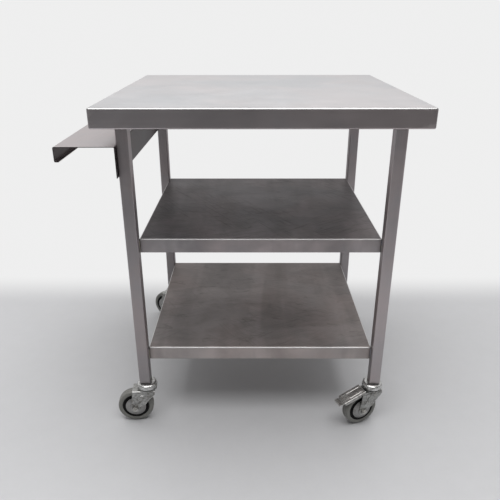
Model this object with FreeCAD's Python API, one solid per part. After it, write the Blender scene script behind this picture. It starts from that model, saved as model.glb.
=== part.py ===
import FreeCAD, Part
import math
import os

# Stainless steel service trolley: worktop, two lower shelves, an outboard shelf on
# the left and four swivel castors, the two right-hand ones with a foot brake.
# Millimetres, +Z up, +X right, front at -Y. The origin lies on the floor in the
# middle of the overall footprint (side shelf included).

Vector = FreeCAD.Vector
os.makedirs("parts", exist_ok=True)

# ---------------------------------------------------------------- worktop and frame
TOP_W = 760.0           # across
TOP_D = 730.0           # front to back
TOP_Z = 900.0           # upper face above the floor
TOP_SKIRT = 46.0        # height of the folded edge
TOP_T = 1.2
TOP_R = 4.5             # outer bend radius
TOP_RETURN = 12.0       # inward return under the skirt

TUBE = 30.0             # square tube of legs and rails
TUBE_T = 1.5
TUBE_R = 3.0
FRAME_W = 678.0         # over the legs, across
FRAME_D = 604.0         # over the legs, front to back
LEG_BOTTOM = 130.0
LEG_TOP = TOP_Z - TOP_T

HAT_T = 1.2             # sheet of the top-hat stiffeners
TOP_HAT_X = 150.0       # each side of the table's centreline
TOP_HAT_HALF = 40.0     # half width over the flanges
TOP_HAT_WEB = 44.0      # over the two webs
TOP_HAT_DEPTH = 24.0
TOP_HAT_GAP = 0.5       # to the front and rear rails

# ---------------------------------------------------------------- lower shelves
SHELF_LEVELS = {"mid": 562.0, "lower": 237.0}
SHELF_T = 1.2
SHELF_R = 3.5
SHELF_H = 38.0          # folded apron
SHELF_RETURN = 10.0
SHELF_SETBACK = 20.0    # apron behind the leg faces
SHELF_GAP = 0.4         # to each leg, bridged by the weld
SHELF_HAT_INSET = 12.0  # from the ends of the shelf
SHELF_HAT_HALF = 35.0
SHELF_HAT_WEB = 40.0
SHELF_HAT_DEPTH = 22.0
SHELF_WELD_R = 2.2
SHELF_WELD_RISE = 1.0   # start above the apron's lower edge
SHELF_WELD_LEN = SHELF_H - 4.5

# ---------------------------------------------------------------- side shelf
SIDE_T = 1.5
SIDE_R = 3.0            # outer bend radius
SIDE_Z = 805.0          # upper face
SIDE_OUT = 143.5        # reach beyond the leg faces
SIDE_FLANGE = 75.0      # height against the legs
SIDE_LIP = 36.0
SIDE_RETURN = 10.0
SIDE_OVER = 15.0        # beyond the leg faces at both ends
SIDE_WELD_R = 1.8
SIDE_WELD_INSET = 4.0   # from the sides of the leg

# ---------------------------------------------------------------- castors
WHEEL_R = 50.0          # also the height of the axle
TRAIL = 36.4            # swivel axis to axle
TYRE_W = 25.3
TYRE_BEVEL = 1.5        # across the width, at the tyre's bore
SHOULDER_H = 6.0        # rounding of the tread's edges: radial
SHOULDER_W = 5.0        # and across the width
GROOVE_Y = 4.5          # tread grooves each side of the middle
GROOVE_W = 1.2
GROOVE_D = 0.8
TYRE_BORE_R = 37.8
RIM_IN_R = 29.7
HUB_R = 14.0
HUB_HALF = 17.9
WEB_HALF = 3.5          # half thickness of the disc between hub and rim
SLEEVE_R = 6.0
SLEEVE_HALF = 18.2
BOLT_R = 4.0
BOLT_END = 9.0          # bolt end beyond the fork cheek
BOLT_HEAD_H = 5.3
NUT_H = 6.8
BOLT_AF = 13.0          # hexagon across flats
RUN = 0.05              # radial running clearance
CLOSE = 0.02            # radial clearance of close fits
STEM_CLEAR = 0.08       # radial clearance of the king bolt in the fork
GUARD_T = 1.2
GUARD_R = 28.9

CHEEK_IN = SLEEVE_HALF + GUARD_T
CHEEK_T = 2.5
CHEEK_OUT = CHEEK_IN + CHEEK_T
CROWN_Z0 = 103.5        # lower face of the fork's crown
CROWN_Z1 = CROWN_Z0 + CHEEK_T
FORK_X = (-26.0, TRAIL + 16.0)
FORK_Z0 = 30.0
FORK_BEND_R = 5.5
FORK_END_R = 13.5       # rounded cheek end about the axle
RIB_RISE = 1.3

AXIS_IN = 3.5           # swivel axis inboard of the leg's centre
RACE_R = 26.2
RACE_Z1 = 110.4         # top of the lower race
HEAD_R = 27.9
HEAD_Z0 = 113.2
HEAD_Z1 = 127.6
STEM_R = 6.0            # M12 king bolt
STEM_TOP = 154.0
WASHER_R = 13.0
PLUG_H = 20.0
BALL_R = 3.0
BALL_PCR = 21.4         # pitch circle radius
BALL_Z = 111.7
BALL_N = 20

# ---------------------------------------------------------------- brake, released
CROWN_CUT_X = 31.0      # end of the crown on a braked fork
PIN_X, PIN_Z = 1.5, 97.0
PIN_R = 2.5
PEDAL_ROOT = (32.5, 113.0)          # x, z of the plate's upper face at its root
PEDAL_SLOPE = math.radians(18.0)
PEDAL_LEN = 68.0
PEDAL_HALF = 19.0
PEDAL_T = 1.6
EAR_R = 4.2             # ear end about the pin
TOE_LEN = 8.8           # length of the level toe tread
TOE_HALF = 15.5
CURL_R = 4.2
PRESS = math.radians(5.5)           # travel to the locked position
SHOE_U = (8.5, 36.0)    # extent along the pedal plate
SHOE_DEPTH = 12.0       # below the plate's upper face
SHOE_HALF = 12.0
SHOE_CLEAR = 0.25
COIL_PITCH = 1.15
COIL_TURNS = 4
COIL_Y = 11.6           # inner end of each coil

# corner: (x sign, y sign, direction of trail in degrees from +X, braked)
CORNERS = {
    "front_left": (-1, -1, 183.4, False),
    "front_right": (1, -1, 202.7, True),
    "rear_left": (-1, 1, 152.4, False),
    "rear_right": (1, 1, 198.0, True),
}

TABLE_X = (FRAME_W / 2 + SIDE_OUT - TOP_W / 2) / 2      # table's centreline
LEFT, RIGHT = TABLE_X - FRAME_W / 2, TABLE_X + FRAME_W / 2
FRONT, REAR = -FRAME_D / 2, FRAME_D / 2

TOL = 1e-6


# ---------------------------------------------------------------- helpers
def inset(span, distance):
    """A (low, high) span shortened at both ends."""
    return span[0] + distance, span[1] - distance


def around(centre, half):
    return centre - half, centre + half


def box(xs, ys, zs):
    """Box from its (low, high) spans."""
    return Part.makeBox(xs[1] - xs[0], ys[1] - ys[0], zs[1] - zs[0],
                        Vector(xs[0], ys[0], zs[0]))


def cylinder_y(radius, x, z, y0, y1):
    return Part.makeCylinder(radius, y1 - y0, Vector(x, y0, z), Vector(0, 1, 0))


def closed_wire(points):
    vectors = [Vector(*point) for point in points]
    return Part.makePolygon(vectors + vectors[:1])


def face(points):
    return Part.Face(closed_wire(points))


def prism_y(outline, y0, y1):
    """Prism along Y on an outline of (x, z) points."""
    return face([(x, y0, z) for x, z in outline]).extrude(Vector(0, y1 - y0, 0))


def revolve_y(profile, x, z):
    """Revolve (radius, y) points about the Y-parallel axis through x, z."""
    section = face([(x, y, z + radius) for radius, y in profile])
    return section.revolve(Vector(x, 0, z), Vector(0, 1, 0), 360)


def revolve_z(profile):
    """Revolve (radius, z) points about the Z axis."""
    section = face([(radius, 0, z) for radius, z in profile])
    return section.revolve(Vector(0, 0, 0), Vector(0, 0, 1), 360)


def mirrored(half):
    """Complete a (radius, y) profile from its +Y half."""
    return [(radius, -y) for radius, y in half] + half[::-1]


def arc_points(x, z, radius, degrees):
    return [(x + radius * math.cos(math.radians(angle)),
             z + radius * math.sin(math.radians(angle))) for angle in degrees]


def edges_where(shape, test):
    """Edges whose two end points pass the test."""
    return [edge for edge in shape.Edges
            if test(edge.Vertexes[0].Point, edge.Vertexes[-1].Point)]


def rounded_box(xs, ys, zs, upright_r, top_r=0.0, bottom_r=0.0):
    """Box with rounded vertical edges and, if asked, top and bottom edges."""
    solid = box(xs, ys, zs)
    solid = solid.makeFillet(
        upright_r, edges_where(solid, lambda start, end: abs(start.z - end.z) > TOL))
    for radius, level in ((top_r, zs[1]), (bottom_r, zs[0])):
        if radius > 0:
            solid = solid.makeFillet(radius, edges_where(
                solid,
                lambda start, end: abs(start.z - level) < TOL and abs(end.z - level) < TOL))
    return solid


def refined(shape):
    """Merge split faces and unwrap a single solid."""
    solids = shape.removeSplitter().Solids
    return solids[0] if len(solids) == 1 else Part.makeCompound(solids)


def save(name, shape):
    shape.exportStep("parts/" + name + ".step")


def save_group(name, shapes):
    save(name, Part.makeCompound([solid for shape in shapes for solid in shape.Solids]))


# ---------------------------------------------------------------- sheet and tube forms
def square_tube(spans, along):
    """Open square hollow section along axis 0, 1 or 2."""
    def lengthwise(start, end):
        return abs(start[along] - end[along]) > TOL

    outer = box(*spans)
    outer = outer.makeFillet(TUBE_R, edges_where(outer, lengthwise))
    inner = box(*[span if i == along else inset(span, TUBE_T)
                  for i, span in enumerate(spans)])
    inner = inner.makeFillet(TUBE_R - TUBE_T, edges_where(inner, lengthwise))
    return outer.cut(inner)


def tray(xs, ys, z_top, height, thick, radius, lip):
    """Folded sheet: flat top, four aprons down, inward return along the bottom."""
    z_low = z_top - height
    low_r = radius * 0.8
    outer = rounded_box(xs, ys, (z_low, z_top), radius, radius, low_r)
    inner = rounded_box(inset(xs, thick), inset(ys, thick), inset((z_low, z_top), thick),
                        radius - thick, radius - thick, low_r - thick)
    opening = rounded_box(inset(xs, lip), inset(ys, lip), (z_low - 5, z_low + thick + 1), 2.0)
    return refined(outer.cut(inner).cut(opening))


def top_hat(xs, ys, z_top, depth, web, along_x):
    """Stiffener under a sheet: two flanges, two webs, one base."""
    low, high = ys if along_x else xs
    web_low, web_high = around((low + high) / 2, web / 2)
    in_low, in_high = inset((web_low, web_high), HAT_T)
    base = z_top - depth
    under = z_top - HAT_T
    profile = [(low, z_top), (in_low, z_top), (in_low, base + HAT_T),
               (in_high, base + HAT_T), (in_high, z_top), (high, z_top),
               (high, under), (web_high, under), (web_high, base),
               (web_low, base), (web_low, under), (low, under)]
    if along_x:
        section = face([(xs[0], y, z) for y, z in profile])
        return section.extrude(Vector(xs[1] - xs[0], 0, 0))
    return prism_y(profile, *ys)


def quarter_bead(corner, direction, length, quadrant, radius):
    """Quarter-round weld bead; quadrant holds the signs of the free side, 0 lengthwise."""
    rod = Part.makeCylinder(radius, length, Vector(*corner), Vector(*direction))
    spans = [sorted((place, place + step * length + sign * radius))
             for place, step, sign in zip(corner, direction, quadrant)]
    return rod.common(box(*spans))


# ---------------------------------------------------------------- table
def leg_centre(x_sign, y_sign):
    return TABLE_X + x_sign * (FRAME_W - TUBE) / 2, y_sign * (FRAME_D - TUBE) / 2


def build_frame():
    for corner, (x_sign, y_sign, _, _) in CORNERS.items():
        x, y = leg_centre(x_sign, y_sign)
        spans = (around(x, TUBE / 2), around(y, TUBE / 2), (LEG_BOTTOM, LEG_TOP))
        save("leg_" + corner, square_tube(spans, 2))
    # rails between the legs, flush with them
    between_x, between_y = inset((LEFT, RIGHT), TUBE), inset((FRONT, REAR), TUBE)
    rail_z = (LEG_TOP - TUBE, LEG_TOP)
    for name, xs, ys, along in (("front", between_x, (FRONT, FRONT + TUBE), 0),
                                ("rear", between_x, (REAR - TUBE, REAR), 0),
                                ("left", (LEFT, LEFT + TUBE), between_y, 1),
                                ("right", (RIGHT - TUBE, RIGHT), between_y, 1)):
        save("top_rail_" + name, square_tube((xs, ys, rail_z), along))


def build_worktop():
    save("top_sheet", tray(around(TABLE_X, TOP_W / 2), around(0, TOP_D / 2),
                           TOP_Z, TOP_SKIRT, TOP_T, TOP_R, TOP_RETURN))
    for name, x_sign in (("left", -1), ("right", 1)):
        save("top_stiffener_" + name,
             top_hat(around(TABLE_X + x_sign * TOP_HAT_X, TOP_HAT_HALF),
                     inset((FRONT, REAR), TUBE + TOP_HAT_GAP),
                     LEG_TOP, TOP_HAT_DEPTH, TOP_HAT_WEB, False))


def build_shelves():
    xs = inset((LEFT, RIGHT), TUBE + SHELF_GAP)
    ys = inset((FRONT, REAR), SHELF_SETBACK)
    beads = []
    for name, level in SHELF_LEVELS.items():
        save(name + "_shelf",
             tray(xs, ys, level, SHELF_H, SHELF_T, SHELF_R, SHELF_RETURN))
        save(name + "_shelf_stiffener",
             top_hat(inset(xs, SHELF_HAT_INSET), around(0, SHELF_HAT_HALF),
                     level - SHELF_T, SHELF_HAT_DEPTH, SHELF_HAT_WEB, True))
        # upright beads from the apron ends to the leg sides
        z = level - SHELF_H + SHELF_WELD_RISE
        for x_free, x in ((1, LEFT + TUBE), (-1, RIGHT - TUBE)):
            for y_free, y in ((-1, ys[0]), (1, ys[1])):
                beads.append(quarter_bead((x, y, z), (0, 0, 1), SHELF_WELD_LEN,
                                          (x_free, y_free, 0), SHELF_WELD_R))
    save_group("shelf_welds", beads)


def build_side_shelf():
    """One bent sheet on the left legs, and its welds below the flange."""
    y0, y1 = FRONT - SIDE_OVER, REAR + SIDE_OVER
    tip = LEFT - SIDE_OUT
    foot_z = SIDE_Z - SIDE_FLANGE
    lip_z = SIDE_Z - SIDE_LIP
    # bend centres
    leg_x, tip_x = LEFT - SIDE_R, tip + SIDE_R
    top_z, low_z = SIDE_Z - SIDE_R, lip_z + SIDE_R
    inner_r = SIDE_R - SIDE_T
    end_x = tip + SIDE_RETURN

    def line(x_a, z_a, x_b, z_b):
        return Part.makeLine(Vector(x_a, y0, z_a), Vector(x_b, y0, z_b))

    def arc(x, z, radius, start, end):
        points = arc_points(x, z, radius, (start, (start + end) / 2, end))
        return Part.Arc(*[Vector(px, y0, pz) for px, pz in points]).toShape()

    section = Part.Face(Part.Wire([
        # outer side, from the flange's foot to the end of the return
        line(LEFT, foot_z, LEFT, top_z),
        arc(leg_x, top_z, SIDE_R, 0, 90),
        line(leg_x, SIDE_Z, tip_x, SIDE_Z),
        arc(tip_x, top_z, SIDE_R, 90, 180),
        line(tip, top_z, tip, low_z),
        arc(tip_x, low_z, SIDE_R, 180, 270),
        line(tip_x, lip_z, end_x, lip_z),
        line(end_x, lip_z, end_x, lip_z + SIDE_T),
        # inner side, back to the foot
        line(end_x, lip_z + SIDE_T, tip_x, lip_z + SIDE_T),
        arc(tip_x, low_z, inner_r, 270, 180),
        line(tip + SIDE_T, low_z, tip + SIDE_T, top_z),
        arc(tip_x, top_z, inner_r, 180, 90),
        line(tip_x, SIDE_Z - SIDE_T, leg_x, SIDE_Z - SIDE_T),
        arc(leg_x, top_z, inner_r, 90, 0),
        line(LEFT - SIDE_T, top_z, LEFT - SIDE_T, foot_z),
        line(LEFT - SIDE_T, foot_z, LEFT, foot_z),
    ]))
    save("side_shelf", section.extrude(Vector(0, y1 - y0, 0)))
    save_group("side_shelf_welds", [
        quarter_bead((LEFT, y + SIDE_WELD_INSET, foot_z), (0, 1, 0),
                     TUBE - 2 * SIDE_WELD_INSET, (-1, 0, -1), SIDE_WELD_R)
        for y in (FRONT, REAR - TUBE)])


# ---------------------------------------------------------------- castor pieces
# Each is built about its own swivel axis with the trail towards +X, then turned.
def wheel_ring(profile):
    return revolve_y(profile, TRAIL, WHEEL_R)


def tyre_shape():
    half = TYRE_W / 2
    profile = [(TYRE_BORE_R, half - TYRE_BEVEL), (TYRE_BORE_R + 2.5, half)]
    for i in range(7):
        angle = math.radians(90.0 * i / 6)
        profile.append((WHEEL_R - SHOULDER_H + SHOULDER_H * math.sin(angle),
                        half - SHOULDER_W + SHOULDER_W * math.cos(angle)))
    groove, floor = GROOVE_W / 2, GROOVE_W / 2 * 0.6
    profile += [(WHEEL_R, GROOVE_Y + groove), (WHEEL_R - GROOVE_D, GROOVE_Y + floor),
                (WHEEL_R - GROOVE_D, GROOVE_Y - floor), (WHEEL_R, GROOVE_Y - groove)]
    return wheel_ring(mirrored(profile))


def core_shape():
    """Hub, disc and rim."""
    rim = TYRE_W / 2 - TYRE_BEVEL
    return wheel_ring(mirrored([
        (SLEEVE_R + RUN, HUB_HALF), (HUB_R - 1.0, HUB_HALF), (HUB_R, HUB_HALF - 1.0),
        (HUB_R + 1.5, WEB_HALF), (RIM_IN_R - 1.5, WEB_HALF),
        (RIM_IN_R, rim - 1.0), (RIM_IN_R + 1.0, rim), (TYRE_BORE_R, rim)]))


def sleeve_shape():
    return wheel_ring(mirrored([(BOLT_R + RUN, SLEEVE_HALF), (SLEEVE_R, SLEEVE_HALF)]))


def guard_shape(side):
    """Dished cover disc between wheel and fork cheek."""
    inner, outer = SLEEVE_HALF, SLEEVE_HALF + GUARD_T
    profile = [(BOLT_R + RUN, inner), (16.0, inner), (22.5, inner - 2.2),
               (GUARD_R - 1.2, inner - 5.4), (GUARD_R, inner - 5.9),
               (GUARD_R, inner - 4.7), (GUARD_R - 1.2, inner - 4.2),
               (22.5, outer - 2.2), (16.0, outer), (BOLT_R + RUN, outer)]
    return wheel_ring([(radius, side * y) for radius, y in profile])


def ball_groove():
    return Part.makeTorus(BALL_PCR, BALL_R + RUN, Vector(0, 0, BALL_Z))


def fork_channel():
    """Bent U: crown plate and two cheeks."""
    def bend_at(level):
        return lambda start, end: abs(start.x - end.x) > 1 and abs(start.z - level) < TOL

    outer = box(FORK_X, around(0, CHEEK_OUT), (FORK_Z0, CROWN_Z1))
    outer = outer.makeFillet(FORK_BEND_R, edges_where(outer, bend_at(CROWN_Z1)))
    inner = box(inset(FORK_X, -1), around(0, CHEEK_IN), (FORK_Z0 - 1, CROWN_Z0))
    inner = inner.makeFillet(FORK_BEND_R - CHEEK_T, edges_where(inner, bend_at(CROWN_Z0)))
    return outer.cut(inner)


def cheek_rib(side):
    """Tapered rib standing on the outside of a cheek."""
    base = [(8.0, 93.0), (19.0, 93.0), (TRAIL + 1.5, 68.0), (TRAIL - 4.5, 66.5)]
    mean_x = sum(x for x, _ in base) / 4
    mean_z = sum(z for _, z in base) / 4
    crest = [(mean_x + (x - mean_x) * 0.8, mean_z + (z - mean_z) * 0.92) for x, z in base]
    wires = [closed_wire([(x, side * y, z) for x, z in outline])
             for outline, y in ((base, CHEEK_OUT - 0.01), (crest, CHEEK_OUT + RIB_RISE))]
    return Part.makeLoft(wires, True, True)


def fork_shape(braked):
    # side silhouette, from the crown's back edge round the axle and up again
    silhouette = [(-22.0, CROWN_Z1 + 1), (-22.0, 97.0), (-18.0, 91.0), (-4.0, 77.0),
                  (7.5, 60.0), (TRAIL - FORK_END_R * 0.93, WHEEL_R + 3.0)]
    silhouette += arc_points(TRAIL, WHEEL_R, FORK_END_R, range(195, 356, 10))
    silhouette += [(TRAIL + FORK_END_R, WHEEL_R + 2.0), (TRAIL + 9.5, 70.0),
                   (TRAIL + 6.5, 90.0), (TRAIL + 5.5, CROWN_Z1 + 1)]
    fork = fork_channel().common(prism_y(silhouette, -30, 30))
    for side in (-1, 1):
        fork = fork.fuse(cheek_rib(side))
    # lower ball race on the crown
    race = revolve_z([
        (STEM_R, CROWN_Z1 - 0.2), (RACE_R, CROWN_Z1 - 0.2), (RACE_R, RACE_Z1 - 1.8),
        (RACE_R - 0.6, RACE_Z1 - 0.6), (RACE_R - 1.8, RACE_Z1), (17.6, RACE_Z1),
        (15.6, CROWN_Z1 + 2.2), (STEM_R, CROWN_Z1 + 2.2)])
    fork = fork.fuse(race.cut(ball_groove()))
    # king bolt and axle holes
    fork = fork.cut(Part.makeCylinder(STEM_R + STEM_CLEAR, 40, Vector(0, 0, 90)))
    fork = fork.cut(cylinder_y(BOLT_R + RUN, TRAIL, WHEEL_R, -40, 40))
    if braked:
        # the crown stops short so that the pedal can rise past it
        fork = fork.cut(box((CROWN_CUT_X, 60), around(0, CHEEK_IN), (95, CROWN_Z1 + 1)))
        fork = fork.cut(cylinder_y(PIN_R + CLOSE, PIN_X, PIN_Z, -40, 40))
    return refined(fork)


def axle_hexagon(y0, y1, turn):
    """Hexagon about the axle with its corners trimmed by a cylinder."""
    outline = arc_points(TRAIL, WHEEL_R, BOLT_AF / math.sqrt(3.0),
                         [60 * k + turn for k in range(6)])
    trim = cylinder_y(BOLT_AF / 2 * 1.1, TRAIL, WHEEL_R, y0, y1)
    return prism_y(outline, y0, y1).common(trim)


def axle_shapes():
    """Bolt with its head at -Y, and nut."""
    end_y = CHEEK_OUT + BOLT_END
    bolt = cylinder_y(BOLT_R, TRAIL, WHEEL_R, -CHEEK_OUT - 0.5, end_y)
    bolt = bolt.fuse(axle_hexagon(-CHEEK_OUT - BOLT_HEAD_H, -CHEEK_OUT, 12.0))
    bolt = bolt.makeChamfer(0.8, edges_where(
        bolt, lambda start, end: abs(start.y - end_y) < TOL and abs(end.y - end_y) < TOL))
    nut = axle_hexagon(CHEEK_OUT, CHEEK_OUT + NUT_H, 25.0)
    nut = nut.cut(cylinder_y(BOLT_R + CLOSE, TRAIL, WHEEL_R, 0, 60))
    return [refined(bolt), refined(nut)]


def head_shape():
    """Upper race: domed pressing that carries the foot washer on its crown."""
    # radius, height above HEAD_Z0
    profile = [(STEM_R + CLOSE, 6.2), (15.0, 6.2), (16.8, 0), (HEAD_R - 1.3, 0),
               (HEAD_R - 0.4, 0.3), (HEAD_R, 1.2), (HEAD_R, 8.0), (HEAD_R - 0.5, 10.2),
               (HEAD_R - 1.7, 12.0), (HEAD_R - 3.6, 13.4), (HEAD_R - 6.5, 14.1)]
    head = revolve_z([(radius, HEAD_Z0 + rise) for radius, rise in profile]
                     + [(13.6, HEAD_Z1), (STEM_R + CLOSE, HEAD_Z1)])
    return refined(head.cut(ball_groove()))


def ball_shapes():
    angles = [2 * math.pi * k / BALL_N for k in range(BALL_N)]
    return [Part.makeSphere(BALL_R, Vector(BALL_PCR * math.cos(angle),
                                           BALL_PCR * math.sin(angle), BALL_Z))
            for angle in angles]


def stem_shape():
    """King bolt: low domed head under the crown, shank up into the leg plug."""
    seat = CROWN_Z0 - 0.1
    return revolve_z([(0, seat - 2.8), (7.5, seat - 2.8), (9.6, seat - 1.6), (10.0, seat),
                      (STEM_R, seat), (STEM_R, STEM_TOP - 1.0), (STEM_R - 1.0, STEM_TOP),
                      (0, STEM_TOP)])


def washer_shape():
    """Spacer between the crown of the head and the leg's foot."""
    return revolve_z([(STEM_R + CLOSE, HEAD_Z1), (WASHER_R, HEAD_Z1),
                      (WASHER_R, LEG_BOTTOM), (STEM_R + CLOSE, LEG_BOTTOM)])


def plug_shape(x_sign):
    """Square plug in the foot of the leg, bored off centre for the king bolt."""
    span = around(0, TUBE / 2 - TUBE_T)
    plug = rounded_box(span, span, (LEG_BOTTOM, LEG_BOTTOM + PLUG_H), TUBE_R - TUBE_T)
    return plug.cut(Part.makeCylinder(STEM_R, PLUG_H + 10,
                                      Vector(-x_sign * AXIS_IN, 0, LEG_BOTTOM - 5)))


# ---------------------------------------------------------------- brake pieces
def on_pedal(u, v):
    """(x, z) of a point u along the plate from its root and v below its upper face."""
    return (PEDAL_ROOT[0] + math.cos(PEDAL_SLOPE) * u - math.sin(PEDAL_SLOPE) * v,
            PEDAL_ROOT[1] - math.sin(PEDAL_SLOPE) * u - math.cos(PEDAL_SLOPE) * v)


def pedal_block(u_span, v_span, half):
    """Block aligned with the pedal plate."""
    (u0, u1), (v0, v1) = u_span, v_span
    corners = [(u0, v0), (u1, v0), (u1, v1), (u0, v1)]
    return prism_y([on_pedal(u, v) for u, v in corners], -half, half)


def sheet_outline(line, thick):
    """Closed outline of a sheet lying below an open line of (x, z) points."""
    normals = []
    for (x0, z0), (x1, z1) in zip(line, line[1:]):
        length = math.hypot(x1 - x0, z1 - z0)
        normals.append(((z1 - z0) / length, (x0 - x1) / length))
    lower = []
    for i, (x, z) in enumerate(line):
        beside = normals[max(i - 1, 0):i + 1]
        mean_x = sum(normal[0] for normal in beside) / len(beside)
        mean_z = sum(normal[1] for normal in beside) / len(beside)
        scale = thick / (mean_x ** 2 + mean_z ** 2)
        lower.append((x + scale * mean_x, z + scale * mean_z))
    return line + lower[::-1]


def toe_shape():
    """Step down from the plate, short level tread, downward curl."""
    turn = -PEDAL_SLOPE
    tread_u, tread_v = PEDAL_LEN + 3.2, 4.2
    end_u = tread_u + TOE_LEN * math.cos(turn)
    end_v = tread_v + TOE_LEN * math.sin(turn)
    line = [(PEDAL_LEN - 1.5, 0.0), (PEDAL_LEN + 0.5, 0.3), (PEDAL_LEN + 1.8, 3.4),
            (tread_u, tread_v), (end_u, end_v)]
    for degrees in (20, 40, 60, 80, 100):
        angle = turn + math.radians(degrees)
        line.append((end_u + CURL_R * (math.sin(angle) - math.sin(turn)),
                     end_v + CURL_R * (math.cos(turn) - math.cos(angle))))
    outline = sheet_outline([on_pedal(u, v) for u, v in line], PEDAL_T)
    return prism_y(outline, -TOE_HALF, TOE_HALF)


def pedal_shape():
    """Channel: ears on the pin, plate over the wheel, stepped and curled toe."""
    half = PEDAL_HALF
    body = pedal_block((0, PEDAL_LEN), (0, PEDAL_T + 1.0), half)
    ear = [on_pedal(u, v) for u, v in ((0, 0), (PEDAL_LEN, 0), (PEDAL_LEN, 7.0),
                                       (PEDAL_LEN - 3, 8.5), (8, 9.5))]
    ear += [(30.0, 95.5), (PIN_X + 1.0, PIN_Z - EAR_R)]
    ear += arc_points(PIN_X, PIN_Z, EAR_R, range(255, 89, -15))
    ear += [(31.2, PIN_Z + EAR_R), (PEDAL_ROOT[0] + 0.2, 104.2)]
    for y in (-half, half - PEDAL_T):
        body = body.fuse(prism_y(ear, y, y + PEDAL_T))
    body = body.removeSplitter()

    def long_top(start, end):
        drop = math.tan(PEDAL_SLOPE) * (start.x - PEDAL_ROOT[0])
        return (abs(abs(start.y) - half) < 1e-4 and abs(start.y - end.y) < 1e-4
                and (start - end).Length > PEDAL_LEN * 0.8
                and abs(start.z - PEDAL_ROOT[1] + drop) < 1e-4)

    body = body.makeFillet(2.4, edges_where(body, long_top))
    # hollow under the plate
    body = body.cut(pedal_block((-6, PEDAL_LEN + 1), (PEDAL_T, 30), half - PEDAL_T))
    body = body.fuse(toe_shape())
    # two long ribs and three bars near the toe, kept clear of the hollow
    below = pedal_block((-10, 90), (0.8, 30), 30)
    for y in (-10.0, 10.0):
        start, end = [Vector(x, y, z) for x, z in (on_pedal(5.0, 1.4), on_pedal(46.0, 1.4))]
        rib = Part.makeCylinder(2.6, (end - start).Length, start, end - start)
        rib = rib.fuse(Part.makeSphere(2.6, start)).fuse(Part.makeSphere(2.6, end))
        body = body.fuse(rib.cut(below))
    for u in (51.5, 56.5, 61.5):
        bar = cylinder_y(1.4, *on_pedal(u, 0.5), -11.0, 11.0)
        body = body.fuse(bar.cut(below))
    return refined(body.cut(cylinder_y(PIN_R + RUN, PIN_X, PIN_Z, -40, 40)))


def shoe_shape():
    """Shoe under the plate; its working face takes the tyre's curve at full press."""
    block = pedal_block(SHOE_U, (PEDAL_T, SHOE_DEPTH), SHOE_HALF)
    # wheel centre turned about the pin by the pedal's travel
    reach_x, reach_z = TRAIL - PIN_X, WHEEL_R - PIN_Z
    x = PIN_X + reach_x * math.cos(PRESS) - reach_z * math.sin(PRESS)
    z = PIN_Z + reach_x * math.sin(PRESS) + reach_z * math.cos(PRESS)
    return refined(block.cut(cylinder_y(WHEEL_R + SHOE_CLEAR, x, z, -30, 30)))


def pin_shape():
    profile = mirrored([(0, CHEEK_OUT + 1.9), (3.0, CHEEK_OUT + 1.7),
                        (4.3, CHEEK_OUT), (PIN_R, CHEEK_OUT)])
    return revolve_y(profile, PIN_X, PIN_Z)


def spring_shapes():
    """Two close-wound coils on the pin, one at each side."""
    profile = [(3.0, COIL_Y), (3.0, COIL_Y + COIL_TURNS * COIL_PITCH)]
    for k in range(COIL_TURNS - 1, -1, -1):
        # radius, position within the turn
        for radius, part in ((4.0, 1), (4.35, 0.75), (4.45, 0.5), (4.35, 0.25)):
            profile.append((radius, COIL_Y + (k + part) * COIL_PITCH))
    profile.append((4.0, COIL_Y))
    return [revolve_y([(radius, side * y) for radius, y in profile], PIN_X, PIN_Z)
            for side in (-1, 1)]


def build_castors():
    singles = {"swivel_head": head_shape(), "tyre": tyre_shape(),
               "wheel_core": core_shape(), "axle_sleeve": sleeve_shape()}
    groups = {"axle_bolt": axle_shapes(), "thread_guards": [guard_shape(1), guard_shape(-1)]}
    brake = {"brake_pedal": pedal_shape(), "brake_shoe": shoe_shape(),
             "brake_pin": pin_shape()}
    springs = spring_shapes()
    forks = {braked: fork_shape(braked) for braked in (False, True)}
    stem, washer, balls = stem_shape(), washer_shape(), ball_shapes()

    # gathered over all four castors
    shared = {"king_bolts": [], "leg_foot_washers": [], "leg_foot_plugs": [],
              "swivel_balls": []}
    for corner, (x_sign, y_sign, angle, braked) in CORNERS.items():
        leg_x, leg_y = leg_centre(x_sign, y_sign)

        def placed(shape):
            turned = shape.copy()
            turned.rotate(Vector(0, 0, 0), Vector(0, 0, 1), angle)
            turned.translate(Vector(leg_x - x_sign * AXIS_IN, leg_y, 0))
            return turned

        own = dict(singles, fork=forks[braked])
        own_groups = dict(groups)
        if braked:
            own.update(brake)
            own_groups["brake_springs"] = springs
        for name, shape in own.items():
            save(name + "_" + corner, placed(shape))
        for name, shapes in own_groups.items():
            save_group(name + "_" + corner, [placed(shape) for shape in shapes])

        shared["king_bolts"].append(placed(stem))
        shared["leg_foot_washers"].append(placed(washer))
        plug = plug_shape(x_sign)
        plug.translate(Vector(leg_x, leg_y, 0))
        shared["leg_foot_plugs"].append(plug)
        shared["swivel_balls"] += [placed(ball) for ball in balls]
    for name, shapes in shared.items():
        save_group(name, shapes)


build_worktop()
build_frame()
build_shelves()
build_side_shelf()
build_castors()
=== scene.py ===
"""Looks, floor, lights and camera for a stainless steel trolley on braked swivel castors.

Metres. X runs from left to right, Y from front to rear, Z up. The camera stands in front (-Y).
"""
import bpy
import math
from fnmatch import fnmatchcase
from functools import reduce
from mathutils import Matrix, Vector


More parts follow.
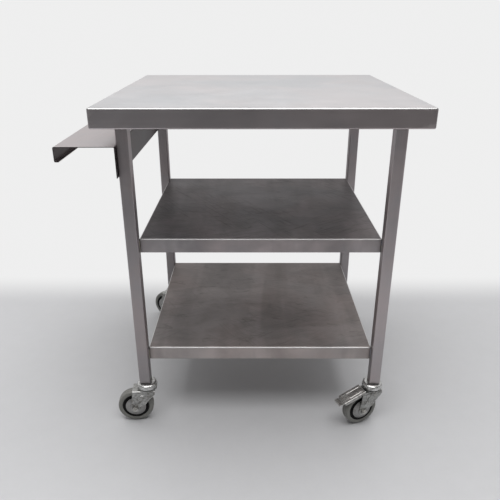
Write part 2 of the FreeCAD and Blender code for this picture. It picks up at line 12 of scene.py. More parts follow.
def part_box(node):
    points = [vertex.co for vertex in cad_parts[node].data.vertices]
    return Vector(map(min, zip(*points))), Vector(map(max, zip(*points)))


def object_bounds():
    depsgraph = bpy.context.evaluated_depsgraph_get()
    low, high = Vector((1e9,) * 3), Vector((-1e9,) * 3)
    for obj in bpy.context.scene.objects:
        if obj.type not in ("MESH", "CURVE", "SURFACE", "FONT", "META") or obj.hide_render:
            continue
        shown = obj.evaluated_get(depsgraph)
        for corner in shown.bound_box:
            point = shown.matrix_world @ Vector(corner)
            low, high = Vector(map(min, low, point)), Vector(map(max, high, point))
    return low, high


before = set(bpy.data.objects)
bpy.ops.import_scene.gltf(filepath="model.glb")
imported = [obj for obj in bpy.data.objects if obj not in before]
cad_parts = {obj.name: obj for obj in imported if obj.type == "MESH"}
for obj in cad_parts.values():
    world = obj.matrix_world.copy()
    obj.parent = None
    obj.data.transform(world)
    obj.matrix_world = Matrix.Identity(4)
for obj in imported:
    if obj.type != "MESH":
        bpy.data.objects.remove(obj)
cad_lo, cad_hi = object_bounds()
top_lo, top_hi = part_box("top_sheet")
mid_lo, mid_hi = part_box("mid_shelf")
low_lo, low_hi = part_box("lower_shelf")
centre_x = (top_lo.x + top_hi.x) / 2
scene = bpy.context.scene


# ------------------------------------------------------------------ node graph
class Graph:
    """The node tree of a material or world, with short calls for the nodes used here.

    Wherever a value is taken, it may be a number, a tuple or the output of another node.
    """

    def __init__(self, owner, output="OutputMaterial"):
        owner.use_nodes = True
        self.owner = owner
        self.tree = owner.node_tree
        self.tree.nodes.clear()
        self.output = self.add(output)
        self.coords = self.add("TexCoord").outputs
        self.pos = self.coords["Object"]
        self.normal = self.coords["Normal"]

    def add(self, kind, **settings):
        node = self.tree.nodes.new("ShaderNode" + kind)
        for key, value in settings.items():
            setattr(node, key, value)
        return node

    def put(self, socket, value):
        """Link or set an input; a three-part colour gets an alpha of 1."""
        if isinstance(value, bpy.types.NodeSocket):
            self.tree.links.new(value, socket)
        elif hasattr(value, "__len__") and len(value) == 3 and len(socket.default_value) == 4:
            socket.default_value = (*value, 1.0)
        else:
            socket.default_value = value

    def put_all(self, sockets, values):
        for socket, value in zip(sockets, values):
            self.put(socket, value)

    def finish(self, shader):
        """Connect the shader to the output and return the material or world."""
        self.put(self.output.inputs[0], shader)
        return self.owner

    # arithmetic
    def math(self, operation, first, second=0.0, third=0.0):
        node = self.add("Math", operation=operation)
        self.put_all(node.inputs, (first, second, third))
        return node.outputs[0]

    def mul(self, *factors):
        return reduce(lambda a, b: self.math("MULTIPLY", a, b), factors)

    def offset(self, start, value, by):
        """start + value * by"""
        return self.math("MULTIPLY_ADD", value, by, start)

    def vary(self, value, by):
        """Turn 0..1 into 1 - by .. 1 + by."""
        return self.offset(1 - by, value, 2 * by)

    def remap(self, value, span, to=(0.0, 1.0)):
        """Smooth step over the input span, to the output range."""
        node = self.add("MapRange", interpolation_type="SMOOTHSTEP")
        self.put_all(node.inputs, (value, *span, *to))
        return node.outputs[0]

    def vec(self, operation, first, second=(0, 0, 0)):
        node = self.add("VectorMath", operation=operation)
        self.put_all(node.inputs, (first, second))
        return node.outputs["Value" if operation in ("DOT_PRODUCT", "LENGTH") else 0]

    def xyz(self, vector):
        node = self.add("SeparateXYZ")
        self.put(node.inputs[0], vector)
        return node.outputs

    def join(self, x, y, z):
        node = self.add("CombineXYZ")
        self.put_all(node.inputs, (x, y, z))
        return node.outputs[0]

    # textures
    def mapped(self, at=None, stretch=(1, 1, 1), turn=(0, 0, 0), shift=(0, 0, 0)):
        """Coordinates scaled, turned (degrees) and moved; object space unless given."""
        node = self.add("Mapping")
        self.put(node.inputs["Vector"], at or self.pos)
        node.inputs["Scale"].default_value = stretch
        node.inputs["Rotation"].default_value = [math.radians(angle) for angle in turn]
        node.inputs["Location"].default_value = shift
        return node.outputs[0]

    def noise(self, scale=1.0, detail=3.0, rough=0.5, distort=0.0, at=None, **mapping):
        if mapping:
            at = self.mapped(at, **mapping)
        node = self.add("TexNoise")
        self.put(node.inputs["Vector"], at or self.pos)
        node.inputs["Scale"].default_value = scale
        node.inputs["Detail"].default_value = detail
        node.inputs["Roughness"].default_value = rough
        node.inputs["Distortion"].default_value = distort
        return node.outputs[0]

    def cells(self, at, scale):
        """Voronoi cells: distance to the nearest centre, random colour, ..."""
        node = self.add("TexVoronoi", feature="F1")
        self.put(node.inputs["Vector"], at)
        node.inputs["Scale"].default_value = scale
        return node.outputs

    # colours
    def mix(self, factor, first, second, kind="RGBA"):
        # the sockets of a Mix node depend on its data type
        start, result = {"FLOAT": (2, 0), "VECTOR": (4, 1), "RGBA": (6, 2)}[kind]
        node = self.add("Mix", data_type=kind)
        self.put(node.inputs[0], factor)
        self.put_all(node.inputs[start:start + 2], (first, second))
        return node.outputs[result]

    def shade(self, colour, level):
        """Colour times a scalar."""
        node = self.add("VectorMath", operation="SCALE")
        self.put(node.inputs[0], colour)
        self.put(node.inputs["Scale"], level)
        return node.outputs[0]

    def gain(self, colour, mask, by):
        """Brighten the colour by a share where the mask is 1."""
        return self.shade(colour, self.offset(1.0, mask, by))

    def stain(self, colour, mask, other, by):
        """Cover with another colour where the mask is 1."""
        return self.mix(self.mul(mask, by), colour, other)

    # surface
    def bump(self, height, strength, distance, normal=None):
        node = self.add("Bump")
        self.put(node.inputs["Height"], height)
        node.inputs["Strength"].default_value = strength
        node.inputs["Distance"].default_value = distance
        if normal is not None:
            self.put(node.inputs["Normal"], normal)
        return node.outputs[0]

    def edges(self, radius):
        """1 on convex and concave edges, 0 on flats."""
        bevel = self.add("Bevel", samples=4)
        bevel.inputs["Radius"].default_value = radius
        geometry = self.add("NewGeometry")
        cosine = self.vec("DOT_PRODUCT", bevel.outputs[0], geometry.outputs["Normal"])
        return self.remap(self.math("SUBTRACT", 1.0, cosine), (0.02, 0.25))

    def crevice(self, distance, span=(0.35, 0.95)):
        """1 in corners, 0 in the open."""
        occlusion = self.add("AmbientOcclusion", samples=4)
        occlusion.inputs["Distance"].default_value = distance
        return self.remap(occlusion.outputs["AO"], span, to=(1.0, 0.0))

    def principled(self, **inputs):
        node = self.add("BsdfPrincipled")
        for key, value in inputs.items():
            self.put(node.inputs[key.replace("_", " ")], value)
        return node.outputs[0]


def new_material(name):
    return Graph(bpy.data.materials.new(name))


# --------------------------------------------------------------- brushed steel
AXES = {"x": (1, 0, 0), "y": (0, 1, 0), "z": (0, 0, 1)}
# texture scales (along, across) of the broad, middle and fine grain
GRAIN_SCALES = ((0.9, 46.0), (2.6, 330.0), (9.0, 1500.0))
FACING_UP = (0.90, 0.995)  # span of normal z from sloping to level


def streaks(mat, axis):
    return [mat.mapped(stretch=[along if part else across for part in AXES[axis]])
            for along, across in GRAIN_SCALES]


def grain_frames(mat, grain):
    """Coordinates stretched along the grain at three scales, and the tangent across it."""
    if grain in AXES:
        coords = streaks(mat, grain)
        direction = AXES[grain]
    else:
        # folded sheet: along X, and along Y on the faces that look sideways
        side = mat.math("GREATER_THAN", mat.math("ABSOLUTE", mat.xyz(mat.normal)[0]), 0.6)
        coords = [mat.mix(side, along_x, along_y, "VECTOR")
                  for along_x, along_y in zip(streaks(mat, "x"), streaks(mat, "y"))]
        direction = mat.mix(side, AXES["x"], AXES["y"], "VECTOR")
    return coords, mat.vec("CROSS_PRODUCT", mat.normal, direction)


def scratches(mat, angles, across, along, cut, seed, patch):
    """Thin sparse lines at the given angles about Z, each set in its own patches.

    across, along: texture scales; cut: noise level where lines start; patch: patch scale.
    """
    total = None
    for i, angle in enumerate(angles):
        line = mat.noise(detail=2.0, at=mat.mapped(turn=(0, 0, angle)),
                         stretch=(along, across, 1.0),
                         shift=(seed + 3.1 * i, seed * 1.7 + i, 0))
        line = mat.remap(line, (cut, cut + 0.05))
        patches = mat.noise(scale=patch, detail=1.0, shift=(5.0 * i + seed, 1.3 * i, 0))
        line = mat.mul(line, mat.remap(patches, (0.46, 0.62)))
        total = line if total is None else mat.math("MAXIMUM", total, line)
    return total


def steel(name, grain, base, rough, aniso, streak, blotch, blotch_scale, seed, wave=0.15,
          wear=0.25, corner_shade=0.35, marks=None, mark_tone=1.0, flat=1.0, flat_rough=0.0,
          inner=1.0, fold_tone=None, extra=None):
    """Brushed stainless.

    streak, blotch: contrast of grain and clouds; wave: unevenness of the sheet;
    wear, dirt: bright worn edges, painted shade in the corners; marks: function for the
    mask of marks on upward faces, mark_tone their level; flat, flat_rough: tone and
    added roughness of upward faces, the tone painted light and shade, on the shelves also
    their dull worn surface; inner: painted light level of faces looking to +X (flat and
    inner need marks); fold_tone: painted brightness of the rolled bends, a painted highlight
    on the shelf folds; extra: function reworking colour, roughness.
    """
    mat = new_material(name)
    coords, tangent = grain_frames(mat, grain)
    broad = mat.noise(rough=0.55, at=coords[0])
    middle = mat.noise(rough=0.6, at=coords[1])
    fine = mat.noise(detail=2.0, rough=0.6, at=coords[2])
    cloud = mat.noise(scale=blotch_scale, detail=4.0, rough=0.55, distort=0.4,
                      shift=(seed, seed * 2.0, seed * 3.0))
    haze = mat.noise(scale=blotch_scale * 3.3, rough=0.6, distort=0.8,
                     shift=(seed + 7.0, 2.0, 1.0))

    level = mat.mul(mat.vary(broad, by=streak * 0.6), mat.vary(middle, by=streak * 0.9),
                    mat.vary(fine, by=streak), mat.vary(cloud, by=blotch),
                    mat.vary(haze, by=blotch * 0.6))
    warm = [base[0] * 1.03, base[1] * 0.985, base[2] * 0.97]
    colour = mat.shade(mat.mix(mat.remap(cloud, (0.35, 0.65)), base, warm), level)
    rough = mat.math("ADD", mat.offset(rough - 0.04, middle, by=0.08),
                     mat.offset(-0.06, haze, by=0.12))
    rough = mat.offset(mat.math("SUBTRACT", rough, 0.05), cloud, by=0.10)

    if marks:
        normal_x, _, normal_z = mat.xyz(mat.normal)
        up = mat.remap(normal_z, FACING_UP)
        # flat: painted light and shade on the upward faces, on the shelves also their dull worn
        # surface
        if flat != 1.0:
            colour = mat.gain(colour, up, by=flat - 1.0)
        if flat_rough:
            rough = mat.offset(rough, up, by=flat_rough)
        # inner: painted light level of the faces looking to +X
        if inner != 1.0:
            colour = mat.shade(colour, mat.remap(normal_x, (0.4, 0.8), to=(1.0, inner)))
        marked = mat.mul(marks(mat), up)
        colour = mat.mix(marked, colour, mat.shade(colour, mark_tone))
        rough = mat.offset(rough, marked, by=0.10)
    if extra:
        colour, rough = extra(mat, colour, rough)
    # painted tone of the rolled bends, a painted highlight on the shelf folds
    if fold_tone:
        bend = mat.mul(mat.remap(normal_z, (0.10, 0.30)),
                       mat.remap(normal_z, (0.93, 0.99), to=(1.0, 0.0)))
        worn = (fold_tone, fold_tone * 0.99, fold_tone * 0.985)
        colour = mat.stain(colour, bend, worn, by=1.0)
        rough = mat.offset(rough, bend, by=0.06)
    if wear:
        edge = mat.mul(mat.edges(radius=0.0018), mat.remap(haze, (0.3, 0.6), to=(0.4, 1.0)))
        colour = mat.stain(colour, edge, (0.72, 0.71, 0.69), by=wear)
        rough = mat.offset(rough, edge, by=-0.10 * wear)
    # painted shade: darker in the corners and creases, where the occlusion node finds them
    corner = mat.mul(mat.crevice(distance=0.014), mat.remap(haze, (0.25, 0.6), to=(0.5, 1.0)))
    colour = mat.stain(colour, corner, (0.050, 0.042, 0.038), by=corner_shade)
    rough = mat.offset(rough, corner, by=0.15 * corner_shade)

    sheet = mat.noise(scale=3.2, detail=2.0, rough=0.4, shift=(seed, 0, 4))
    normal = mat.bump(sheet, strength=wave, distance=0.006)
    normal = mat.bump(middle, strength=0.04, distance=0.0004, normal=normal)
    normal = mat.bump(fine, strength=0.10, distance=0.00025, normal=normal)
    if fold_tone:
        # no relief on the bends
        plain = mat.add("NewGeometry").outputs["Normal"]
        normal = mat.mix(bend, normal, plain, "VECTOR")
    return mat.finish(mat.principled(
        Base_Color=colour, Metallic=1.0, Roughness=mat.math("MAXIMUM", rough, 0.08),
        Anisotropic=aniso, Tangent=tangent, Normal=normal))


def tinted(level):
    """Slightly warm steel grey of the given level."""
    return (level * 1.035, level * 0.972, level * 0.992)


def top_marks(mat):
    """Wipe marks and hairline scratches on the worktop."""
    return mat.mul(scratches(mat, angles=(8, 62, -35, 101), across=620.0, along=5.0,
                             cut=0.66, seed=2.0, patch=4.0), 0.6)


def top_tone(mat, colour, rough):
    """Neutral upper face with painted shade along its front fold; painted light on the left half
    of the skirt; skirt smudged at its ends.
    """
    x, y, _ = mat.xyz(mat.pos)
    _, normal_y, normal_z = mat.xyz(mat.normal)
    up = mat.remap(normal_z, FACING_UP)
    cool = mat.vec("MULTIPLY", colour, (0.955, 1.022, 1.028))
    colour = mat.mix(up, colour, cool)
    # painted shade: a dark band on the upper face just behind the front fold
    front = mat.remap(y, (top_lo.y + 0.005, top_lo.y + 0.017), to=(1.0, 0.0))
    colour = mat.gain(colour, mat.mul(front, up), by=-0.38)

    from_centre = mat.math("ABSOLUTE", mat.math("SUBTRACT", x, centre_x))
    ends = mat.remap(from_centre, (0.27, 0.35))
    smear = mat.noise(rough=0.6, distort=0.6, at=mat.mapped(turn=(0, 28, 0)),
                      stretch=(14, 14, 26), shift=(3.3, 0, 1.0))
    smudge = mat.mul(mat.remap(smear, (0.48, 0.66)), ends,
                     mat.remap(mat.math("ABSOLUTE", normal_y), (0.90, 0.97)))
    # painted light: the left half of the skirt is brighter
    left = mat.mul(mat.remap(x, (centre_x - 0.36, centre_x - 0.12), to=(1.0, 0.0)),
                   mat.remap(normal_z, (0.05, 0.0)))
    colour = mat.gain(colour, left, by=0.20)
    colour = mat.mix(smudge, colour, mat.shade(colour, 1.24))
    return colour, mat.offset(rough, smudge, by=0.06)


def shelf_marks(seed, strength):
    """Cross-hatched drag marks, short and long."""
    def marks(mat):
        coarse = scratches(mat, angles=(14, -20, 32, -38, 58), across=300.0, along=9.0,
                           cut=0.60, seed=seed, patch=3.4)
        fine = scratches(mat, angles=(22, -28, 44, -48, 74), across=620.0, along=16.0,
                         cut=0.61, seed=seed + 5.0, patch=5.5)
        return mat.mul(mat.math("MAXIMUM", coarse, mat.mul(fine, 0.6)), strength)
    return marks


def specks(seed, dark, light):
    """Small dark spots and fewer painted glints."""
    def spots(mat, at, scale, radius, channel, share):
        """Spots in the cells whose random colour channel exceeds the share."""
        cell = mat.cells(at, scale)
        keep = mat.remap(mat.xyz(cell[1])[channel], share)
        return mat.mul(mat.remap(cell[0], radius, to=(1.0, 0.0)), keep)

    def tone(mat, colour, rough):
        at = mat.mapped(shift=(seed, seed, 0))
        dots = spots(mat, at, scale=26.0, radius=(0.03, 0.055), channel=0, share=(0.80, 0.82))
        colour = mat.stain(colour, dots, mat.shade(colour, dark), by=0.8)
        glints = spots(mat, at, scale=9.0, radius=(0.015, 0.03), channel=1, share=(0.90, 0.91))
        colour = mat.mix(glints, colour, (light,) * 3)
        return colour, mat.offset(rough, dots, by=0.2)
    return tone


def shelf_tone(seed, lo, hi, rear, middle, front, left, right, then=None):
    """Uneven tone of a used shelf: soft bands of painted reflection, clouds, and a painted
    highlight along the front edge.

    rear .. right: painted light and shade levels of the upper face there; then: further step of
    the same kind.
    """
    def tone(mat, colour, rough):
        x, y, _ = mat.xyz(mat.pos)
        up = mat.remap(mat.xyz(mat.normal)[2], FACING_UP)
        # painted reflection: soft bands across the brushed shelf
        bands = mat.noise(distort=0.5, stretch=(11, 1.6, 1.6), shift=(seed, 1.0, seed))
        cloud = mat.noise(detail=4.0, rough=0.6, distort=0.8, stretch=(5, 8, 5),
                          shift=(seed + 4.0, seed, 2.0))
        smut = mat.noise(detail=5.0, rough=0.65, distort=1.0, stretch=(16, 44, 16),
                         shift=(seed, seed + 9.0, 0))
        dull = mat.mul(mat.remap(smut, (0.56, 0.70)), up)
        uneven = mat.mul(mat.remap(bands, (0.36, 0.64), to=(0.90, 1.10)),
                         mat.remap(cloud, (0.36, 0.64), to=(0.90, 1.10)),
                         mat.offset(1.0, dull, by=-0.20))

        # painted light and shade: levels of the upper face from rear to front and left to right
        middle_y = (lo.y + hi.y) / 2
        along = mat.math("ADD", mat.remap(y, (lo.y, middle_y), to=(front - middle, 0.0)),
                         mat.remap(y, (middle_y, hi.y), to=(0.0, rear - middle)))
        zone = mat.mul(mat.math("ADD", along, middle),
                       mat.remap(x, (lo.x, hi.x), to=(left, right)))
        zone = mat.offset(1.0, mat.math("SUBTRACT", zone, 1.0), by=up)
        colour = mat.shade(colour, mat.mul(uneven, zone))
        # painted highlight: a bright band on the upper face along the front fold
        edge = mat.mul(mat.remap(y, (lo.y + 0.0035, lo.y + 0.0075), to=(1.0, 0.0)), up)
        colour = mat.gain(colour, edge, by=0.9)
        rough = mat.offset(mat.math("SUBTRACT", rough, 0.03), smut, by=0.06)
        return then(mat, colour, rough) if then else (colour, rough)
    return tone


def leg_painted_light(mat, colour, rough):
    """Painted light: brighter towards the top, on the right legs and on the inner faces of the
    left ones.
    """
    x, _, z = mat.xyz(mat.pos)
    height = mat.math("ADD", mat.remap(z, (0.12, 0.52), to=(0.84, 1.0)),
                      mat.remap(z, (0.50, 0.82), to=(0.0, 0.50)))
    right = mat.remap(x, (centre_x - 0.2, centre_x + 0.2), to=(0.97, 1.22))
    inner = mat.mul(mat.remap(mat.xyz(mat.normal)[0], (0.6, 0.9)),
                    mat.remap(x, (centre_x - 0.1, centre_x + 0.1), to=(1.0, 0.0)))
    colour = mat.gain(colour, inner, by=0.32)
    return mat.shade(colour, mat.mul(height, right)), rough


# ------------------------------------------------------- castors and fasteners
def weld_steel(name):
    """Rippled bead with straw and blue heat tints."""
    mat = new_material(name)
    ripple = mat.noise(detail=2.0, distort=0.6, stretch=(60, 60, 420))
    lump = mat.noise(scale=320.0, rough=0.6)
    tint = mat.noise(scale=45.0, rough=0.6)
    colour = mat.mix(mat.remap(tint, (0.35, 0.65)), (0.36, 0.33, 0.28), (0.27, 0.28, 0.32))
    colour = mat.shade(colour, mat.vary(lump, by=0.3))
    # painted shade: darker in the corners beside the bead
    colour = mat.stain(colour, mat.crevice(distance=0.006), (0.05, 0.045, 0.04), by=0.6)
    normal = mat.bump(ripple, strength=0.7, distance=0.0008)
    normal = mat.bump(lump, strength=0.5, distance=0.0004, normal=normal)
    return mat.finish(mat.principled(
        Base_Color=colour, Metallic=1.0, Roughness=mat.offset(0.30, lump, by=0.25),
        Normal=normal))


def zinc(name, base, rough, grime_and_shade, seed, scale=1.0, spangle=0.22, edge=0.0012, bright=0.60):
    """Zinc plate: mottled crystals, finely pitted, patchily stained, with painted shade in the
    corners.

    spangle: contrast of the crystals; edge, bright: radius and brightness of the light edges,
    partly worn, partly a painted highlight.
    """
    mat = new_material(name)
    cloud = mat.noise(scale=55.0 * scale, detail=4.0, rough=0.6, distort=0.5,
                      shift=(seed, 0, 0))
    spot = mat.noise(scale=260.0 * scale, rough=0.65, shift=(seed, 3, 0))
    pit = mat.noise(scale=900.0, detail=2.0)
    cell = mat.cells(mat.mapped(shift=(seed, 0, 2)), scale=230.0 * scale)
    crystal = mat.xyz(cell[1])[0]
    colour = mat.shade(base, mat.mul(mat.vary(cloud, by=0.22), mat.vary(spot, by=0.20)))
    colour = mat.shade(colour, mat.vary(crystal, by=spangle))
    stain = mat.noise(scale=60.0, detail=4.0, rough=0.6, distort=1.0, shift=(seed + 4, 1, 2))
    stain = mat.remap(stain, (0.50, 0.66))
    colour = mat.stain(colour, stain, (0.15, 0.135, 0.115), by=0.6 * grime_and_shade)
    # painted shade: darker in the corners and creases
    corner = mat.crevice(distance=0.010, span=(0.30, 0.90))
    colour = mat.stain(colour, corner, (0.018, 0.016, 0.013), by=grime_and_shade)
    # light edges: partly wear, partly a painted highlight on the folds
    colour = mat.stain(colour, mat.edges(edge), (0.92, 0.92, 0.90), by=bright)
    rough = mat.offset(rough - 0.10, cloud, by=0.22)
    rough = mat.offset(mat.math("SUBTRACT", rough, 0.05), crystal, by=0.10)
    rough = mat.offset(mat.offset(rough, stain, by=0.18), corner, by=0.25)
    normal = mat.bump(spot, strength=0.10, distance=0.0003)
    normal = mat.bump(pit, strength=0.12, distance=0.00012, normal=normal)
    return mat.finish(mat.principled(
        Base_Color=colour, Metallic=0.95, Roughness=rough, Normal=normal))


def polished_steel(name):
    """Bright steel with brown patches of oil."""
    mat = new_material(name)
    grain = mat.noise(scale=240.0)
    oil = mat.remap(mat.noise(scale=60.0, detail=2.0), (0.45, 0.65))
    colour = mat.shade((0.66, 0.66, 0.66), mat.vary(grain, by=0.08))
    colour = mat.stain(colour, oil, (0.16, 0.13, 0.08), by=0.4)
    return mat.finish(mat.principled(
        Base_Color=colour, Metallic=1.0, Roughness=mat.offset(0.08, grain, by=0.14),
        Normal=mat.bump(grain, strength=0.04, distance=0.0001)))


def rubber(name, base, dusty, rough, mottle=0.10, sheen=0.12, gloss=0.5):
    """Moulded rubber or plastic with scuffs, embedded dust and a faint sheen."""
    mat = new_material(name)
    cloud = mat.noise(scale=38.0, detail=4.0, rough=0.6, distort=0.3)
    grit = mat.noise(scale=520.0, rough=0.7)
    scuff = mat.noise(scale=120.0, detail=4.0, rough=0.7, distort=1.5, shift=(0, 0, 0))
    scuff = mat.remap(scuff, (0.50, 0.72))
    colour = mat.shade(base, mat.mul(mat.vary(cloud, by=mottle),
                                     mat.vary(grit, by=mottle * 0.9)))
    colour = mat.stain(colour, scuff, dusty, by=0.35)
    # painted shade: darker in the corners and creases
    colour = mat.stain(colour, mat.crevice(distance=0.006), (0.02, 0.018, 0.015), by=0.45)
    normal = mat.bump(grit, strength=0.22, distance=0.0003)
    normal = mat.bump(cloud, strength=0.10, distance=0.0008, normal=normal)
    return mat.finish(mat.principled(
        Base_Color=colour, Metallic=0.0, Roughness=mat.offset(rough, scuff, by=0.12),
        Normal=normal, Sheen_Weight=sheen, Specular_IOR_Level=gloss))


def disc_zinc(name):
    """Light grey pressed cover disc, chalky with scuffs, with painted shade round the hub."""
    mat = new_material(name)
    cloud = mat.noise(scale=70.0, detail=4.0, rough=0.6, distort=0.6)
    grit = mat.noise(scale=420.0, rough=0.7)
    blot = mat.noise(scale=90.0, rough=0.6, distort=1.2, shift=(2, 0, 0))
    blot = mat.remap(blot, (0.50, 0.68))
    colour = mat.shade((0.36, 0.355, 0.35), mat.mul(mat.vary(cloud, by=0.18),
                                                    mat.vary(grit, by=0.14)))
    colour = mat.stain(colour, blot, (0.20, 0.18, 0.16), by=0.40)
    # painted shade: dark in the hollows round the hub
    corner = mat.crevice(distance=0.020, span=(0.25, 1.0))
    colour = mat.stain(colour, corner, (0.018, 0.017, 0.015), by=0.85)
    colour = mat.stain(colour, mat.edges(radius=0.0012), (0.75, 0.74, 0.72), by=0.35)
    return mat.finish(mat.principled(
        Base_Color=colour, Metallic=0.65, Roughness=mat.offset(0.40, blot, by=0.2),
        Normal=mat.bump(grit, strength=0.18, distance=0.0003)))


# -------------------------------------------------------------------- finishes
SHELF = dict(grain="sheet", rough=0.46, aniso=0.30, streak=0.030, wave=0.12, wear=0.0, corner_shade=0.30)
RAIL = dict(base=tinted(0.36), rough=0.42, aniso=0.45, streak=0.07, blotch=0.10,
            blotch_scale=7.0)

finishes = {
    "top": steel(
        "worktop_steel", grain="sheet", base=tinted(0.50), rough=0.34, aniso=0.45,
        streak=0.020, blotch=0.035, blotch_scale=3.2, marks=top_marks, mark_tone=0.90,
        wave=0.08, wear=0.0, corner_shade=0.20, flat=1.12, fold_tone=0.42, extra=top_tone, seed=1.0),
    "mid": steel(
        "mid_shelf_steel", **SHELF, base=tinted(0.44), blotch=0.30, blotch_scale=5.0,
        marks=shelf_marks(seed=3.0, strength=0.7), mark_tone=0.74,
        extra=shelf_tone(3.0, mid_lo, mid_hi, rear=0.81, middle=0.93, front=1.09,
                         left=1.04, right=0.98),
        flat=0.46, flat_rough=0.05, fold_tone=0.62, seed=3.0),
    "low": steel(
        "lower_shelf_steel", **SHELF, base=(0.462, 0.426, 0.418), blotch=0.19,
        blotch_scale=4.0, marks=shelf_marks(seed=9.0, strength=0.6), mark_tone=0.85,
        extra=shelf_tone(9.0, low_lo, low_hi, rear=0.83, middle=1.11, front=1.07,
                         left=1.06, right=0.96, then=specks(seed=2.0, dark=0.45, light=0.75)),
        flat=0.57, flat_rough=0.10, fold_tone=0.66, seed=9.0),
    "side": steel(
        "side_shelf_steel", grain="y", base=tinted(0.50), rough=0.38, aniso=0.45,
        streak=0.05, blotch=0.08, blotch_scale=4.0, marks=top_marks, mark_tone=0.85,
        wave=0.12, wear=0.30, corner_shade=0.25, inner=0.55, seed=5.0),
    "leg": steel(
        "leg_steel", grain="z", base=tinted(0.40), rough=0.38, aniso=0.50, streak=0.07,
        blotch=0.09, blotch_scale=9.0, wave=0.10, corner_shade=0.40, extra=leg_painted_light, seed=6.0),
    "rail_x": steel("cross_rail_steel", grain="x", seed=11.0, **RAIL),
    "rail_y": steel("side_rail_steel", grain="y", seed=12.0, **RAIL),
    "weld": weld_steel("weld_bead_steel"),
    "fork": zinc("fork_zinc", base=(0.40, 0.40, 0.39), rough=0.38, grime_and_shade=0.85, seed=1.0,
                 spangle=0.30),
    "head": zinc("swivel_head_zinc", base=(0.62, 0.62, 0.61), rough=0.24, grime_and_shade=0.70,
                 seed=4.0, spangle=0.14),
    "pedal": zinc("pedal_zinc", base=(0.50, 0.49, 0.475), rough=0.36, grime_and_shade=0.80, seed=7.0,
                  scale=1.2, edge=0.0035, bright=0.90),
    "fastener": zinc("fastener_zinc", base=(0.58, 0.57, 0.54), rough=0.30, grime_and_shade=0.55,
                     seed=9.0, scale=1.6),
    "bearing": polished_steel("bearing_steel_polished"),
    "rim": rubber("rim_black_plastic", base=(0.006, 0.006, 0.0065),
                  dusty=(0.018, 0.017, 0.016), rough=0.60, mottle=0.2, sheen=0.0, gloss=0.12),
    "tyre": rubber("tyre_grey_rubber", base=(0.215, 0.213, 0.198),
                   dusty=(0.30, 0.295, 0.28), rough=0.70),
    "shoe": rubber("brake_block_rubber", base=(0.03, 0.03, 0.03), dusty=(0.10, 0.09, 0.08),
                   rough=0.75),
    "spring": zinc("spring_steel", base=(0.36, 0.35, 0.34), rough=0.34, grime_and_shade=0.7,
                   seed=12.0, scale=2.0),
    "disc": disc_zinc("cover_disc_zinc"),
}

# piece name pattern, finish; the first match counts
PIECES = (
    ("top_sheet", "top"), ("mid_shelf", "mid"), ("lower_shelf", "low"), ("side_shelf", "side"),
    ("*welds", "weld"),
    ("leg_foot_washers*", "fastener"), ("axle_bolt*", "fastener"),
    ("brake_pin*", "fastener"), ("king_bolts*", "fastener"),
    ("leg_*", "leg"),
    ("top_rail_front", "rail_x"), ("top_rail_rear", "rail_x"), ("*shelf_stiffener", "rail_x"),
    ("top_rail*", "rail_y"), ("top_stiffener*", "rail_y"),
    ("swivel_head*", "head"), ("fork*", "fork"), ("brake_pedal*", "pedal"),
    ("brake_shoe*", "shoe"), ("brake_springs*", "spring"), ("thread_guards*", "disc"),
    ("wheel_core*", "rim"), ("tyre*", "tyre"), ("*", "bearing"),
)

for name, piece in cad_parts.items():
    finish = next(finish for pattern, finish in PIECES if fnmatchcase(name, pattern))
    piece.data.materials.clear()
    piece.data.materials.append(finishes[finish])

# ----------------------------------------------------------------------- floor
BACKDROP = 0.86     # brightness of the backdrop as the camera sees it
FLOOR_HALF = 60.0
FLOOR_GAP = 0.0003  # below the lowest point of the trolley


def floor_paint():
    mat = new_material("floor_paint")
    x, y, _ = mat.xyz(mat.pos)
    broad = mat.noise(scale=1.3, detail=4.0, rough=0.55)
    fine = mat.noise(scale=22.0, detail=4.0, rough=0.6)
    tiny = mat.noise(scale=140.0, rough=0.6)
    mottle = mat.mul(mat.vary(broad, by=0.05),
                     mat.mul(mat.vary(fine, by=0.03), mat.vary(tiny, by=0.02)))
    colour = mat.shade((0.540, 0.541, 0.552), mottle)
    seen = mat.add("LightPath").outputs["Is Camera Ray"]
    # painted shade: seen in the steel, the floor falls away into a dim room in front and is
    # darker behind the trolley
    dim = mat.remap(y, (cad_lo.y - 2.6, cad_lo.y - 0.25), to=(0.26, 0.95))
    back = mat.remap(y, (cad_hi.y, cad_hi.y + 0.5), to=(1.0, 0.55))
    level = mat.math("MAXIMUM", seen, mat.mul(dim, back))
    paint = mat.principled(Base_Color=mat.shade(colour, level), Roughness=0.55,
                           Normal=mat.bump(fine, strength=0.03, distance=0.001))
    # no horizon: the floor melts into the backdrop far away, and close behind the
    # trolley when seen from the front
    incoming = mat.add("NewGeometry").outputs["Incoming"]
    front = mat.remap(mat.xyz(incoming)[1], (-0.55, -0.30), to=(1.0, 0.0))
    behind = mat.mul(mat.remap(y, (cad_hi.y + 0.02, cad_hi.y + 0.30)), front)
    far = mat.remap(mat.vec("LENGTH", mat.join(x, y, 0.0)), (1.7, 4.2))
    glow = mat.add("Emission")
    mat.put_all(glow.inputs, ((1, 1, 1, 1), BACKDROP))
    blend = mat.add("MixShader")
    fade = mat.mul(seen, mat.math("MAXIMUM", behind, far))
    mat.put_all(blend.inputs, (fade, paint, glow.outputs[0]))
    return mat.finish(blend.outputs[0])


def build_floor():
    mesh = bpy.data.meshes.new("floor")
    half = FLOOR_HALF
    corners = [(-half, -half, 0), (half, -half, 0), (half, half, 0), (-half, half, 0)]
    mesh.from_pydata(corners, [], [(0, 1, 2, 3)])
    floor = bpy.data.objects.new("floor", mesh)
    scene.collection.objects.link(floor)
    floor.location.z = cad_lo.z - FLOOR_GAP
    mesh.materials.append(floor_paint())


build_floor()


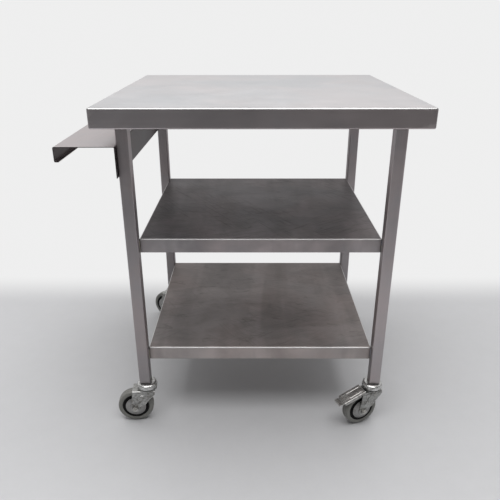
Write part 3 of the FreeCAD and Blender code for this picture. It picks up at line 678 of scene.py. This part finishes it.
# ----------------------------------------------------------------------- light
def build_world():
    """Bright wall behind, shaded low down, and a dim room with a pale ceiling in front."""
    sky = Graph(bpy.data.worlds.new("studio"), "OutputWorld")
    _, y, z = sky.xyz(sky.coords["Generated"])
    # the third input plays no part in these operations and holds the node's default
    wall = sky.math("MULTIPLY", sky.remap(y, (-0.45, 0.40), to=(0.15, 0.80)),
                    sky.remap(z, (-0.05, 0.22), to=(0.50, 1.0)), third=0.5)
    ceiling = sky.remap(z, (0.55, 0.90), to=(0.10, 0.55))
    level = sky.math("MAXIMUM", wall, ceiling, third=0.5)
    seen = sky.add("LightPath").outputs["Is Camera Ray"]
    background = sky.add("Background")
    strength = sky.mix(seen, level, BACKDROP, "FLOAT")
    sky.put_all(background.inputs, ((1.0, 1.0, 1.0, 1.0), strength))
    scene.world = sky.finish(background.outputs[0])


def build_ceiling_light():
    """Large panel above and in front of the trolley, facing down."""
    middle = (cad_lo + cad_hi) / 2
    light = bpy.data.lights.new("ceiling_light", "AREA")
    light.shape = "RECTANGLE"
    light.size = light.size_y = 2.6
    light.energy = 78.0
    panel = bpy.data.objects.new("ceiling_light", light)
    place = Vector((centre_x - 0.1, middle.y - 0.55, cad_hi.z + 1.9))
    target = Vector((place.x, place.y, middle.z))
    panel.location = place
    panel.rotation_mode = "QUATERNION"
    panel.rotation_quaternion = (target - place).to_track_quat("-Z", "Y")
    scene.collection.objects.link(panel)


build_world()
build_ceiling_light()


# ---------------------------------------------------------------------- camera
def build_camera():
    """Just left of centre, in front of and above the worktop, looking down to the rear."""
    data = bpy.data.cameras.new("camera")
    data.sensor_width = 36.0
    data.lens = 38.666
    data.clip_start = 0.02
    data.clip_end = 60.0
    camera = bpy.data.objects.new("camera", data)
    scene.collection.objects.link(camera)

    pitch = math.radians(23.36861)  # downwards
    yaw = math.radians(-0.15255)    # positive turns to the right
    roll = math.radians(-0.05457)
    place = Vector((centre_x - 0.0236, top_lo.y - 1.1792, top_hi.z + 0.1773))

    level = Vector((math.cos(yaw), -math.sin(yaw), 0.0))
    ahead = Vector((math.sin(yaw) * math.cos(pitch), math.cos(yaw) * math.cos(pitch),
                    -math.sin(pitch)))
    upright = Vector((math.sin(yaw) * math.sin(pitch), math.cos(yaw) * math.sin(pitch),
                      math.cos(pitch)))
    right = level * math.cos(roll) + upright * math.sin(roll)
    above = upright * math.cos(roll) - level * math.sin(roll)
    turn = Matrix((right, above, -ahead)).transposed().to_4x4()
    camera.matrix_world = Matrix.Translation(place) @ turn
    scene.camera = camera


build_camera()
scene.view_settings.view_transform = "Standard"
scene.view_settings.look = "None"
scene.view_settings.exposure = 0.0
